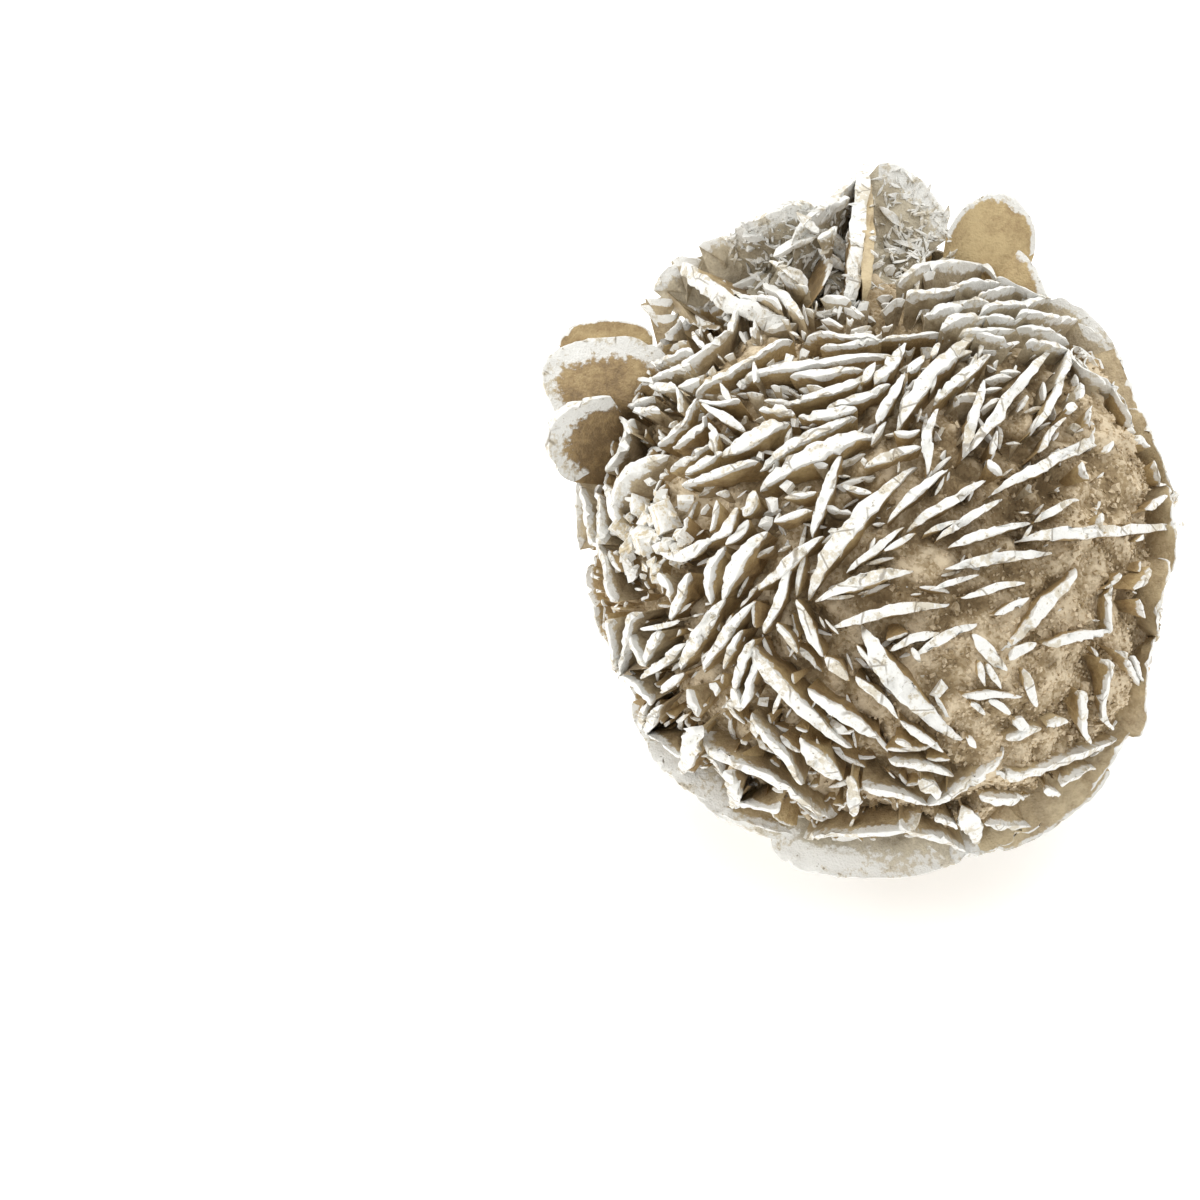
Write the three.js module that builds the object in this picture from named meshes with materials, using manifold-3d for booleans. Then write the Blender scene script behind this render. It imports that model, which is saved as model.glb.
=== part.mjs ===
// A gypsum sand rose, also called a desert rose: a fist-sized ball of disc-shaped gypsum blades that grew through one
// another in wet sand, so the whole cluster is one solid. Millimetres, +Z up. The rose rests on z = 0, and the origin
// is the middle of the flat underside of its lowest blade.
import * as THREE from "three";
import { mergeVertices } from "three/addons/utils/BufferGeometryUtils.js";
import Module from "manifold-3d";

// The rose's form: a ball, a crown on top of its back, and a bulge of fins on its left. Each is an ellipsoid that the
// rims of its blades reach.
const BALL = { middle: new THREE.Vector3(0, 0, 35), radii: new THREE.Vector3(40.5, 45, 37.5) };
const CROWN = { middle: new THREE.Vector3(-5, 23, 57.5), radii: new THREE.Vector3(20, 19, 17.5) };
const FINS = { middle: new THREE.Vector3(-36, 8, 49.5), radii: new THREE.Vector3(10, 12, 9) };
const SAND_DEPTH = 5; // how far the sandy mass between the blades lies under their rims
const SAND_LUMP = 1.2; // how far its lumps stand up or sink in
const SAND_DETAIL = 3;

// The lowest blade, which the rose rests on.
const FOOT = { radius: 15, thickness: 6.5, sides: 12, flare: 1.7 };

// The view that the rims were read in: looking along +Y and down, with pixels counted from the top left corner.
const VIEW = {
  down: THREE.MathUtils.degToRad(43),
  distance: 400,
  mmPerPixel: 0.135,
  middlePixel: 600,
  ballPixel: { x: 878, y: 545 },
};

// How a blade is made from its rim: the rim's ends dip by a share of its length, the rim thins towards them, and the
// blade narrows to its root in the sandy mass.
const RIM_DIP = 0.17;
const RIM_STEP = 5.5;
const LEAST_RIM_STEPS = 3;
const MOST_RIM_STEPS = 4;
const RIM_OVERRUN = 1.06;
const END_THINNING = 0.6;
const SLIVER = 0.2; // faces finer than this are merged after the joins
const CORNER_STEP = 0.01;
const ROOT_WIDTH = 0.55;
const ROOT_THICKNESS = 0.7;
const LEAST_REACH = 7;
const REACH_PER_LENGTH = 0.38;

// The rims that show from the front. Each row has a rim's first end, its middle and its last end as pixels across and
// down, and then its greatest thickness in pixels.
const ROSETTE_RIMS = [
  [700, 399, 738, 365, 791, 344, 9], [661, 447, 680, 425, 699, 401, 8], [675, 449, 690, 434, 707, 418, 6],
  [703, 406, 724, 417, 744, 431, 8], [744, 390, 803, 364, 896, 365, 8], [808, 346, 861, 337, 940, 341, 6],
  [792, 378, 825, 372, 861, 372, 8], [786, 407, 832, 390, 873, 379, 9], [828, 410, 858, 397, 889, 386, 8],
  [800, 418, 830, 412, 856, 411, 10], [724, 457, 756, 435, 788, 426, 15], [763, 471, 805, 436, 855, 421, 9],
  [764, 491, 815, 449, 875, 440, 16], [685, 487, 720, 471, 757, 463, 7], [866, 468, 890, 455, 920, 449, 9],
  [841, 459, 823, 497, 813, 535, 11], [761, 589, 787, 564, 822, 538, 10], [812, 597, 846, 533, 915, 472, 15],
  [889, 522, 915, 494, 946, 471, 8], [937, 411, 926, 440, 927, 473, 9], [935, 405, 958, 381, 989, 357, 10],
  [899, 432, 926, 379, 974, 341, 14], [878, 424, 890, 398, 904, 374, 10], [875, 384, 888, 366, 905, 345, 12],
  [983, 383, 974, 421, 963, 456, 10], [962, 459, 1003, 403, 1049, 355, 11],
  [1031, 431, 1050, 402, 1072, 358, 7], [990, 497, 1050, 461, 1130, 427, 11],
  [938, 540, 967, 519, 1000, 501, 8], [909, 532, 942, 506, 983, 482, 9], [848, 572, 873, 549, 903, 529, 7],
  [950, 548, 985, 534, 1028, 525, 8], [1016, 543, 1090, 534, 1178, 525, 11],
  [947, 569, 1000, 557, 1048, 554, 10], [818, 601, 862, 579, 911, 572, 12], [836, 626, 885, 611, 946, 604, 11],
  [962, 597, 992, 587, 1023, 583, 7], [891, 650, 912, 639, 938, 633, 8], [915, 654, 945, 637, 975, 624, 9],
  [1072, 570, 1045, 609, 1000, 649, 11], [973, 635, 987, 649, 1006, 670, 12],
  [1043, 643, 1075, 638, 1106, 631, 10], [963, 695, 990, 697, 1020, 696, 7], [797, 601, 808, 628, 823, 655, 9],
  [857, 677, 875, 694, 897, 717, 8], [864, 627, 893, 681, 960, 736, 20], [901, 721, 920, 737, 942, 751, 7],
  [810, 689, 840, 714, 878, 735, 12], [756, 641, 777, 684, 850, 744, 14], [801, 739, 818, 762, 842, 778, 17],
  [755, 641, 741, 662, 735, 694, 9], [759, 660, 750, 678, 742, 709, 7], [791, 568, 778, 600, 766, 632, 9],
  [767, 534, 741, 555, 724, 599, 14], [726, 548, 708, 570, 712, 603, 8], [725, 600, 697, 633, 684, 668, 13],
  [755, 603, 722, 636, 706, 668, 9], [691, 574, 679, 596, 672, 619, 10], [662, 553, 690, 554, 712, 541, 11],
];
const LEFT_EDGE_RIMS = [
  [582, 487, 585, 515, 596, 544, 11], [597, 494, 600, 518, 606, 543, 8], [668, 457, 622, 477, 618, 521, 13],
  [635, 421, 620, 446, 609, 472, 10], [596, 544, 606, 572, 618, 600, 8], [615, 620, 611, 645, 615, 669, 8],
  [643, 614, 627, 640, 621, 677, 9], [643, 677, 663, 659, 686, 644, 8],
];
const SHOULDER_RIMS = [
  [580, 398, 610, 396, 640, 392, 6], [640, 380, 662, 375, 686, 373, 7], [652, 363, 672, 358, 693, 355, 6],
  [692, 374, 712, 347, 739, 312, 9], [688, 278, 712, 292, 737, 309, 18], [743, 305, 768, 322, 793, 337, 19],
  [665, 289, 690, 306, 718, 324, 12], [765, 286, 784, 297, 803, 319, 9],
];
const UPPER_RIGHT_RIMS = [
  [899, 288, 941, 260, 992, 278, 9], [906, 307, 963, 285, 1049, 300, 6], [910, 320, 930, 308, 958, 304, 8],
  [942, 328, 1020, 318, 1107, 351, 8], [1026, 344, 1045, 344, 1074, 356, 6],
  [1068, 354, 1078, 371, 1093, 386, 9],
];
const RIGHT_RIMS = [
  [1118, 574, 1110, 600, 1107, 632, 5], [1100, 660, 1102, 690, 1111, 728, 8],
  [1077, 691, 1082, 712, 1090, 742, 9], [1115, 651, 1128, 668, 1141, 690, 5],
];
const BOTTOM_RIMS = [
  [710, 730, 757, 772, 835, 810, 11], [703, 727, 691, 748, 682, 770, 20], [730, 806, 755, 806, 780, 802, 7],
  [713, 808, 755, 826, 803, 832, 20], [754, 714, 774, 746, 803, 782, 10], [804, 829, 850, 834, 918, 812, 9],
  [864, 783, 890, 794, 926, 804, 8], [890, 760, 920, 769, 952, 777, 7], [927, 801, 972, 784, 1001, 748, 9],
  [901, 820, 930, 837, 966, 847, 8], [780, 838, 810, 862, 900, 868, 18], [1002, 761, 1040, 768, 1113, 736, 11],
  [980, 795, 1001, 802, 1023, 798, 13], [851, 776, 854, 796, 854, 815, 12], [961, 806, 970, 823, 978, 841, 18],
];
const CROWN_RIMS = [
  [868, 166, 860, 240, 846, 312, 17], [945, 237, 930, 185, 882, 166, 12], [738, 237, 790, 200, 858, 179, 10],
  [837, 225, 841, 238, 846, 251, 12], [815, 250, 829, 259, 843, 269, 9], [888, 195, 902, 186, 915, 195, 6],
  [948, 238, 962, 212, 1004, 196, 8], [1004, 196, 1030, 220, 1043, 297, 8],
];
const FIN_RIMS = [
  [660, 361, 553, 350, 557, 418, 12], [645, 334, 600, 322, 564, 342, 9], [612, 399, 549, 425, 577, 480, 11],
];

// The blades that don't show from the front stand evenly over the back, the sides and the underside. Their length,
// thickness and lean vary about a mean, and every few of them one grows across the others.
const BALL_BLADES = 46;
const CROWN_BLADES = 12;
const HIDDEN = { length: 22, lengthSpread: 8, thickness: 1.7, thicknessSpread: 0.6, lean: 0.75 };
const CROSSING_EVERY = 5;
const CROSSING_TURN = 1.3;
const HIDDEN_FROM = -0.1; // how squarely a blade that is left to this rule may face the view
const GOLDEN_TURN = Math.PI * (3 - Math.sqrt(5));

const wasm = await Module();
wasm.setup();

const across = new THREE.Vector3(1, 0, 0);
const ahead = new THREE.Vector3(0, Math.cos(VIEW.down), -Math.sin(VIEW.down));
const upward = new THREE.Vector3(0, Math.sin(VIEW.down), Math.cos(VIEW.down));
const pixelsAway = VIEW.distance / VIEW.mmPerPixel;

function sightLine(x, y) {
  return ahead.clone()
    .addScaledVector(across, (x - VIEW.middlePixel) / pixelsAway)
    .addScaledVector(upward, (VIEW.middlePixel - y) / pixelsAway);
}

const eye = BALL.middle.clone().addScaledVector(sightLine(VIEW.ballPixel.x, VIEW.ballPixel.y), -VIEW.distance);

// The point of a lobe that a pixel shows, where the lobe is shrunk by a depth. A pixel past its outline gives the
// nearest point of the line of sight.
function pointOn(lobe, x, y, depth) {
  const radii = lobe.radii.clone().subScalar(depth);
  const sight = sightLine(x, y);
  const from = eye.clone().sub(lobe.middle).divide(radii);
  const way = sight.clone().divide(radii);
  const a = way.lengthSq();
  const b = from.dot(way);
  const root = Math.sqrt(Math.max(0, b * b - a * (from.lengthSq() - 1)));
  return eye.clone().addScaledVector(sight, (-b - root) / a);
}

function outwards(lobe, point) {
  return point.clone().sub(lobe.middle).divide(lobe.radii).divide(lobe.radii).normalize();
}

// A closed solid of the given corners, whose triangles are listed by corner number.
function solidOf(corners, triangles) {
  const vertProperties = Float32Array.from(corners.flatMap((corner) => corner.toArray()));
  const triVerts = Uint32Array.from(triangles.flat());
  return new wasm.Manifold(new wasm.Mesh({ numProp: 3, vertProperties, triVerts }));
}

function solidOfGeometry(geometry) {
  geometry.deleteAttribute("normal");
  geometry.deleteAttribute("uv");
  const merged = mergeVertices(geometry);
  const vertProperties = Float32Array.from(merged.attributes.position.array);
  const triVerts = Uint32Array.from(merged.index.array);
  return new wasm.Manifold(new wasm.Mesh({ numProp: 3, vertProperties, triVerts }));
}

// A blade is a plate whose outer edge is a curve through the rim's first end, middle and last end, and whose root is
// narrower and lies deeper.
function blade(first, middle, last, outward, thickness, reach) {
  const chord = last.clone().sub(first);
  const length = chord.length();
  const along = chord.clone().divideScalar(length);
  const up = outward.clone().addScaledVector(along, -outward.dot(along)).normalize();
  const side = along.clone().cross(up);
  const centre = first.clone().add(last).divideScalar(2);
  const bow = middle.clone().sub(centre);
  const depth = reach ?? Math.max(LEAST_REACH, REACH_PER_LENGTH * length);
  const steps = THREE.MathUtils.clamp(Math.round(length / RIM_STEP), LEAST_RIM_STEPS, MOST_RIM_STEPS);
  const outline = [];
  for (let i = 0; i <= steps; i += 1) {
    const t = RIM_OVERRUN * ((2 * i) / steps - 1);
    const point = centre.clone().addScaledVector(chord, t / 2).addScaledVector(bow, 1 - t * t);
    outline.push({ point, half: (thickness / 2) * (1 - END_THINNING * t * t) });
  }
  for (const end of [1, -1]) {
    const point = centre.clone().addScaledVector(chord, (end * ROOT_WIDTH) / 2).addScaledVector(up, -depth);
    outline.push({ point, half: (thickness / 2) * ROOT_THICKNESS });
  }
  const near = outline.map(({ point, half }) => point.clone().addScaledVector(side, half));
  const far = outline.map(({ point, half }) => point.clone().addScaledVector(side, -half));
  const count = outline.length;
  const triangles = [];
  for (let i = 0; i < count; i += 1) {
    const next = (i + 1) % count;
    triangles.push([i, next, i + count], [next, next + count, i + count]);
  }
  for (let i = 1; i < count - 1; i += 1) {
    triangles.push([count - 1, i, i - 1]);
    triangles.push([2 * count - 1, count + i - 1, count + i]);
  }
  return solidOf([...near, ...far], triangles);
}

function bladesOf(rims, lobe, reach) {
  return rims.map(([ax, ay, mx, my, bx, by, width]) => {
    const dip = RIM_DIP * Math.hypot(bx - ax, by - ay) * VIEW.mmPerPixel;
    const middle = pointOn(lobe, mx, my, 0);
    const first = pointOn(lobe, ax, ay, dip);
    const last = pointOn(lobe, bx, by, dip);
    return blade(first, middle, last, outwards(lobe, middle), width * VIEW.mmPerPixel, reach);
  });
}

// A blade whose rim's middle lies on a lobe in a given direction. It is turned about that direction, and leans.
function hiddenBlade(lobe, direction, turn, lean, length, thickness) {
  const size = 1 / direction.clone().divide(lobe.radii).length();
  const point = direction.clone().multiplyScalar(size).add(lobe.middle);
  const outward = outwards(lobe, point);
  const along = new THREE.Vector3(-outward.y, outward.x, 0).normalize().applyAxisAngle(outward, turn);
  const leaning = outward.clone().applyAxisAngle(along, lean);
  const centre = point.clone().addScaledVector(leaning, -RIM_DIP * length);
  const first = centre.clone().addScaledVector(along, -length / 2);
  const last = centre.clone().addScaledVector(along, length / 2);
  return blade(first, point, last, leaning, thickness);
}

function hiddenBlades(lobe, count) {
  const blades = [];
  for (let i = 0; i < count; i += 1) {
    const height = 1 - (2 * (i + 0.5)) / count;
    const ring = Math.sqrt(1 - height * height);
    const direction = new THREE.Vector3(ring * Math.cos(i * GOLDEN_TURN), ring * Math.sin(i * GOLDEN_TURN), height);
    if (direction.dot(ahead) < HIDDEN_FROM) {
      continue;
    }
    const wave = Math.sin(i * 2.4);
    const otherWave = Math.sin(i * 1.7 + 1);
    const drift = 1.4 * Math.sin(3 * direction.x + 1) + 1.6 * direction.z * direction.y;
    const turn = drift + (i % CROSSING_EVERY === 0 ? CROSSING_TURN : 0);
    const length = HIDDEN.length + HIDDEN.lengthSpread * wave;
    const thickness = HIDDEN.thickness + HIDDEN.thicknessSpread * otherWave;
    blades.push(hiddenBlade(lobe, direction, turn, HIDDEN.lean * otherWave, length, thickness));
  }
  return blades;
}

// The sandy mass that a lobe's blades stand in, with shallow lumps.
function sandyMass(lobe) {
  const geometry = new THREE.IcosahedronGeometry(1, SAND_DETAIL);
  const position = geometry.attributes.position;
  const point = new THREE.Vector3();
  for (let i = 0; i < position.count; i += 1) {
    point.fromBufferAttribute(position, i);
    const lump = Math.sin(5 * point.x + 2 * point.z) * Math.sin(6 * point.y - 3 * point.z + 1) * SAND_LUMP;
    const radii = lobe.radii.clone().addScalar(lump - SAND_DEPTH);
    point.multiply(radii).add(lobe.middle);
    position.setXYZ(i, point.x, point.y, point.z);
  }
  return solidOfGeometry(geometry);
}

function foot() {
  const disc = new THREE.CylinderGeometry(FOOT.radius * FOOT.flare, FOOT.radius, FOOT.thickness, FOOT.sides);
  disc.rotateX(Math.PI / 2);
  disc.translate(0, 0, FOOT.thickness / 2);
  return solidOfGeometry(disc);
}

// The ground below z = 0, which trims whatever would reach under the foot.
function ground() {
  const size = 300;
  const box = new THREE.BoxGeometry(size, size, size);
  box.translate(0, 0, -size / 2);
  return solidOfGeometry(box);
}

const joined = wasm.Manifold.union([
  sandyMass(BALL),
  sandyMass(CROWN),
  foot(),
  ...bladesOf(ROSETTE_RIMS, BALL),
  ...bladesOf(LEFT_EDGE_RIMS, BALL),
  ...bladesOf(SHOULDER_RIMS, BALL),
  ...bladesOf(UPPER_RIGHT_RIMS, BALL),
  ...bladesOf(RIGHT_RIMS, BALL),
  ...bladesOf(BOTTOM_RIMS, BALL),
  ...bladesOf(CROWN_RIMS, CROWN, 16),
  ...bladesOf(FIN_RIMS, FINS, 20),
  ...hiddenBlades(BALL, BALL_BLADES),
  ...hiddenBlades(CROWN, CROWN_BLADES),
]).subtract(ground());

// Blades that close round a small hollow between them leave it full: only the outer skin is kept.
function outerSkin(solid) {
  return solid.decompose().sort((a, b) => b.volume() - a.volume())[0];
}

// Corners nearer than a small step are one corner.
function onGrid(solid) {
  const { vertProperties, triVerts } = solid.getMesh();
  const onStep = vertProperties.map((value) => Math.round(value / CORNER_STEP) * CORNER_STEP);
  const loose = new THREE.BufferGeometry();
  loose.setAttribute("position", new THREE.BufferAttribute(onStep, 3));
  loose.setIndex(new THREE.BufferAttribute(triVerts, 1));
  return solidOfGeometry(loose);
}

const tidied = outerSkin(onGrid(outerSkin(joined).simplify(SLIVER)));
const { vertProperties, triVerts } = tidied.getMesh();
const geometry = new THREE.BufferGeometry();
geometry.setAttribute("position", new THREE.BufferAttribute(vertProperties, 3));
geometry.setIndex(new THREE.BufferAttribute(triVerts, 1));
geometry.computeVertexNormals();

const sandRose = new THREE.Mesh(
  geometry,
  new THREE.MeshStandardMaterial({ color: 0xb39d78, roughness: 0.85, metalness: 0 }),
);
sandRose.name = "sand_rose";

const group = new THREE.Group();
group.add(sandRose);
export default group;
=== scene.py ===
import itertools
import math

import bpy
import numpy as np
from mathutils import Matrix, Vector
from mathutils.bvhtree import BVHTree


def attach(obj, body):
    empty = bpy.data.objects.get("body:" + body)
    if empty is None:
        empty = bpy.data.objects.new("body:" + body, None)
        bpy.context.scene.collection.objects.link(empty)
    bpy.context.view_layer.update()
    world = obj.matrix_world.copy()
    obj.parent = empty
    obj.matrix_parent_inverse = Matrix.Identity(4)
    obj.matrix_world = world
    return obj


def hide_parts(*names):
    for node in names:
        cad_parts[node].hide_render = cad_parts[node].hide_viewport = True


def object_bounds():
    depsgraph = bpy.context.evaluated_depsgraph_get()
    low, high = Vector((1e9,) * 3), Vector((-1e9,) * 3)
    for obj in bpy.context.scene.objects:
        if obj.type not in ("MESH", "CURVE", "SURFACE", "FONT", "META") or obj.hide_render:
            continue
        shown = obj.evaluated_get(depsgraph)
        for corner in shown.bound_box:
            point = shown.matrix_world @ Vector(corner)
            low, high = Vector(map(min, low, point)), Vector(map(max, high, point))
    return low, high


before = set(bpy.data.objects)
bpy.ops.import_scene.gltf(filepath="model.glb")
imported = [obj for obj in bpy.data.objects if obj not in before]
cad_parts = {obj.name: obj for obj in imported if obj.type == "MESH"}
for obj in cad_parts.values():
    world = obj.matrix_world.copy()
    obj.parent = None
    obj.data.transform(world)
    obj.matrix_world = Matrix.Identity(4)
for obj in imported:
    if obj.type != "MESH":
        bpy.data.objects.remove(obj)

cad_box = [list(map(float, corner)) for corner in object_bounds()]

# The camera stands in front of the rose and looks down on it, as a photographer does over a table. The
# picture is square, and its middle lies left of the rose. Lengths in this script are millimetres until a
# mesh is made.
MM = 0.001
PICTURE = 1200
VIEW_DOWN = math.radians(43)
VIEW_DISTANCE = 400.0
MM_PER_PIXEL = 0.135
BALL_PIXEL = (878, 545)
SENSOR_WIDTH = 36.0

PIXELS_AWAY = VIEW_DISTANCE / MM_PER_PIXEL
ACROSS = np.array([1.0, 0.0, 0.0])
AHEAD = np.array([0.0, math.cos(VIEW_DOWN), -math.sin(VIEW_DOWN)])
UPWARD = np.array([0.0, math.sin(VIEW_DOWN), math.cos(VIEW_DOWN)])
BALL = {"middle": np.array([0.0, 0.0, 35.0]), "radii": np.array([40.5, 45.0, 37.5])}


def sight_lines(x, y):
    """The direction from the eye through each pixel: ahead, plus the pixel's offset from the middle."""
    right = (np.asarray(x, float)[..., None] - PICTURE / 2) / PIXELS_AWAY
    up = (PICTURE / 2 - np.asarray(y, float)[..., None]) / PIXELS_AWAY
    return AHEAD + ACROSS * right + UPWARD * up


EYE = BALL["middle"] - VIEW_DISTANCE * sight_lines(*BALL_PIXEL)

camera = bpy.data.objects.new("camera", bpy.data.cameras.new("camera"))
camera.data.sensor_width = SENSOR_WIDTH
camera.data.lens = PIXELS_AWAY / PICTURE * SENSOR_WIDTH
camera.data.clip_start = 0.01
camera.data.clip_end = 20
turn = Matrix((ACROSS, UPWARD, -AHEAD)).transposed().to_4x4()
camera.matrix_world = Matrix.Translation(Vector(EYE * MM)) @ turn
bpy.context.scene.collection.objects.link(camera)
bpy.context.scene.camera = camera

# The floor is a white light table that runs out of sight. The light comes from a large soft box overhead,
# a smaller one low at the left, and the bright room.
FLOOR_SIZE = 6.0
FLOOR_WHITE = (0.93, 0.925, 0.915, 1)
ROOM_WHITE = (1.0, 0.995, 0.985, 1)
ROOM_STRENGTH = 0.95
FLOOR_GLOW = 0.4
SOFT_BOXES = [
    {"name": "overhead", "place": (0.1, 0.25, 0.85), "size": 0.9, "watts": 4.2, "colour": (1.0, 0.985, 0.95)},
    {"name": "left", "place": (-0.6, -0.1, 0.35), "size": 0.4, "watts": 1.0, "colour": (1.0, 0.97, 0.92)},
]


class Socket:
    """A shader socket with arithmetic: each operator adds the Math node that works it out."""

    def __init__(self, tree, output):
        """Holds the output of a node in a material's tree."""
        self.tree = tree
        self.output = output

    def node(self, kind, settings=None, inputs=None, output=0):
        """Adds a node of a kind, sets it up, and fills or links its sockets. Gives the chosen output."""
        made = self.tree.nodes.new(kind)
        for name, value in (settings or {}).items():
            if name == "stops":
                for element, (place, colour) in zip(made.color_ramp.elements, value[:2]):
                    element.position = place
                    element.color = colour
                for place, colour in value[2:]:
                    made.color_ramp.elements.new(place).color = colour
            else:
                setattr(made, name, value)
        for name, value in (inputs or {}).items():
            if isinstance(value, Socket):
                self.tree.links.new(value.output, made.inputs[name])
            else:
                made.inputs[name].default_value = value
        return Socket(self.tree, made.outputs[output])

    def maths(self, operation, *values):
        """One operation on this many values."""
        return self.node("ShaderNodeMath", {"operation": operation}, dict(enumerate(values)))

    def __add__(self, other):
        """This value plus another."""
        return self.maths("ADD", self, other)

    __radd__ = __add__

    def __sub__(self, other):
        """This value less another."""
        return self.maths("SUBTRACT", self, other)

    def __rsub__(self, other):
        """Another value less this one."""
        return self.maths("SUBTRACT", other, self)

    def __mul__(self, other):
        """This value times another."""
        return self.maths("MULTIPLY", self, other)

    def step(self, low, high):
        """0 where the value is under low, 1 where it is over high, and smooth between."""
        settings = {"interpolation_type": "SMOOTHSTEP", "clamp": True}
        ends = {"From Min": low, "From Max": high, "To Min": 0.0, "To Max": 1.0}
        return self.node("ShaderNodeMapRange", settings, {"Value": self, **ends})

    def mix(self, first, second):
        """The first colour where this mask is 0 and the second where it is 1."""
        settings = {"data_type": "RGBA", "clamp_factor": True}
        return self.node("ShaderNodeMix", settings, {"Factor": self, 6: first, 7: second}, output=2)

    def mark(self, name):
        """The piece's own value of this name at each point."""
        return self.node("ShaderNodeAttribute", {"attribute_name": name}, output="Fac")

    def specks(self, scale, detail=0.0, roughness=0.5):
        """Noise at this place, with so many features a metre."""
        settings = {"Vector": self, "Scale": scale, "Detail": detail, "Roughness": roughness}
        return self.node("ShaderNodeTexNoise", None, settings)

    def cells(self, scale, output, feature="F1"):
        """Cells at this place, with so many a metre: each one's colour, or the distance from its middle or
        its edge."""
        settings = {"Vector": self, "Scale": scale}
        return self.node("ShaderNodeTexVoronoi", {"feature": feature}, settings, output)

    def ramp(self, *stops):
        """The colour at this value, between stops that give a value and its colour."""
        return self.node("ShaderNodeValToRGB", {"stops": stops}, {"Fac": self})

    def bump(self, strength, distance):
        """The surface's direction when this value is its height."""
        settings = {"Height": self, "Strength": strength, "Distance": distance}
        return self.node("ShaderNodeBump", None, settings)

    def into(self, shader, name):
        """Links this value to a shader's socket."""
        self.tree.links.new(self.output, shader.inputs[name])


def new_material(name):
    """An empty material: gives it, its shader node and a socket to start expressions from."""
    material = bpy.data.materials.new(name)
    material.use_nodes = True
    tree = material.node_tree
    tree.nodes.clear()
    shader = tree.nodes.new("ShaderNodeBsdfPrincipled")
    out = tree.nodes.new("ShaderNodeOutputMaterial")
    tree.links.new(shader.outputs[0], out.inputs[0])
    place = tree.nodes.new("ShaderNodeTexCoord")
    return material, shader, Socket(tree, place.outputs["Object"])


def new_mesh(name, corners, faces, material, attributes=None, crease=math.pi):
    """A mesh object from corners in millimetres and a list of face arrays, each with as many columns as its
    faces have corners. Edges where the faces turn by more than the crease angle are sharp."""
    mesh = bpy.data.meshes.new(name)
    loops = np.concatenate([part.ravel() for part in faces])
    sizes = np.concatenate([np.full(len(part), part.shape[1]) for part in faces])
    starts = np.concatenate([[0], np.cumsum(sizes)[:-1]])
    mesh.vertices.add(len(corners))
    mesh.vertices.foreach_set("co", (corners * MM).ravel())
    mesh.loops.add(len(loops))
    mesh.loops.foreach_set("vertex_index", loops)
    mesh.polygons.add(len(sizes))
    mesh.polygons.foreach_set("loop_start", starts)
    mesh.polygons.foreach_set("loop_total", sizes)
    mesh.polygons.foreach_set("use_smooth", np.ones(len(sizes), bool))
    for label, values in (attributes or {}).items():
        mark = mesh.attributes.new(label, "FLOAT", "POINT")
        mark.data.foreach_set("value", np.asarray(values, np.float32).ravel())
    mesh.update(calc_edges=True)
    mesh.validate()
    if crease < math.pi:
        mesh.set_sharp_from_angle(angle=crease)
    mesh.materials.append(material)
    piece = bpy.data.objects.new(name, mesh)
    bpy.context.scene.collection.objects.link(piece)
    return piece


table, table_shader, place = new_material("light_table")
grain = place.specks(40.0, 3.0)
table_shader.inputs["Base Color"].default_value = FLOOR_WHITE
table_shader.inputs["Emission Color"].default_value = FLOOR_WHITE
table_shader.inputs["Emission Strength"].default_value = FLOOR_GLOW
(grain * 0.1 + 0.65).into(table_shader, "Roughness")
half = FLOOR_SIZE / 2 / MM
floor_corners = half * np.array([[-1, -1, 0.0], [1, -1, 0.0], [1, 1, 0.0], [-1, 1, 0.0]])
floor = new_mesh("floor", floor_corners, [np.array([[0, 1, 2, 3]])], table)

for box in SOFT_BOXES:
    lamp = bpy.data.lights.new(box["name"], "AREA")
    lamp.size = box["size"]
    lamp.energy = box["watts"]
    lamp.color = box["colour"]
    light = bpy.data.objects.new(box["name"], lamp)
    light.location = box["place"]
    aim = Vector(BALL["middle"] * MM) - light.location
    light.rotation_euler = aim.to_track_quat("-Z", "Y").to_euler()
    bpy.context.scene.collection.objects.link(light)
world = bpy.data.worlds.new("room")
world.use_nodes = True
background = world.node_tree.nodes["Background"]
background.inputs["Color"].default_value = ROOM_WHITE
background.inputs["Strength"].default_value = ROOM_STRENGTH
bpy.context.scene.world = world
bpy.context.scene.view_settings.view_transform = "Standard"

# The sandy mass that the blades stand in is dune sand bound by gypsum. It fills the ball and the crown up to
# a few millimetres under the blades' rims, with lumps and single grains on its surface.
CROWN = {"middle": np.array([-5.0, 23.0, 57.5]), "radii": np.array([20.0, 19.0, 17.5])}
FINS = {"middle": np.array([-36.0, 8.0, 49.5]), "radii": np.array([10.0, 12.0, 9.0])}
SAND_DEPTH = 5.0
SAND_LUMP = 1.2
SAND_ROWS = 160
CROWN_SAND_DEPTH = 3.5
CROWN_GREY = 0.85
CRUST_RISE = 2.1
OUTLINE_DROP = 1.6
SAND_DARK = (0.20, 0.14, 0.07, 1)
SAND_TAN = (0.35, 0.26, 0.145, 1)
SAND_PALE = (0.68, 0.57, 0.405, 1)
DRUSE_DARK = (0.13, 0.11, 0.07, 1)
DRUSE_PALE = (0.50, 0.46, 0.36, 1)
PATCHES_A_METRE = 220.0
GRAINS_A_METRE = 2600.0
GRAIN_BUMP = 0.7
GRAIN_HEIGHT = 0.00015
SAND_ROUGHNESS = 0.85
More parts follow.
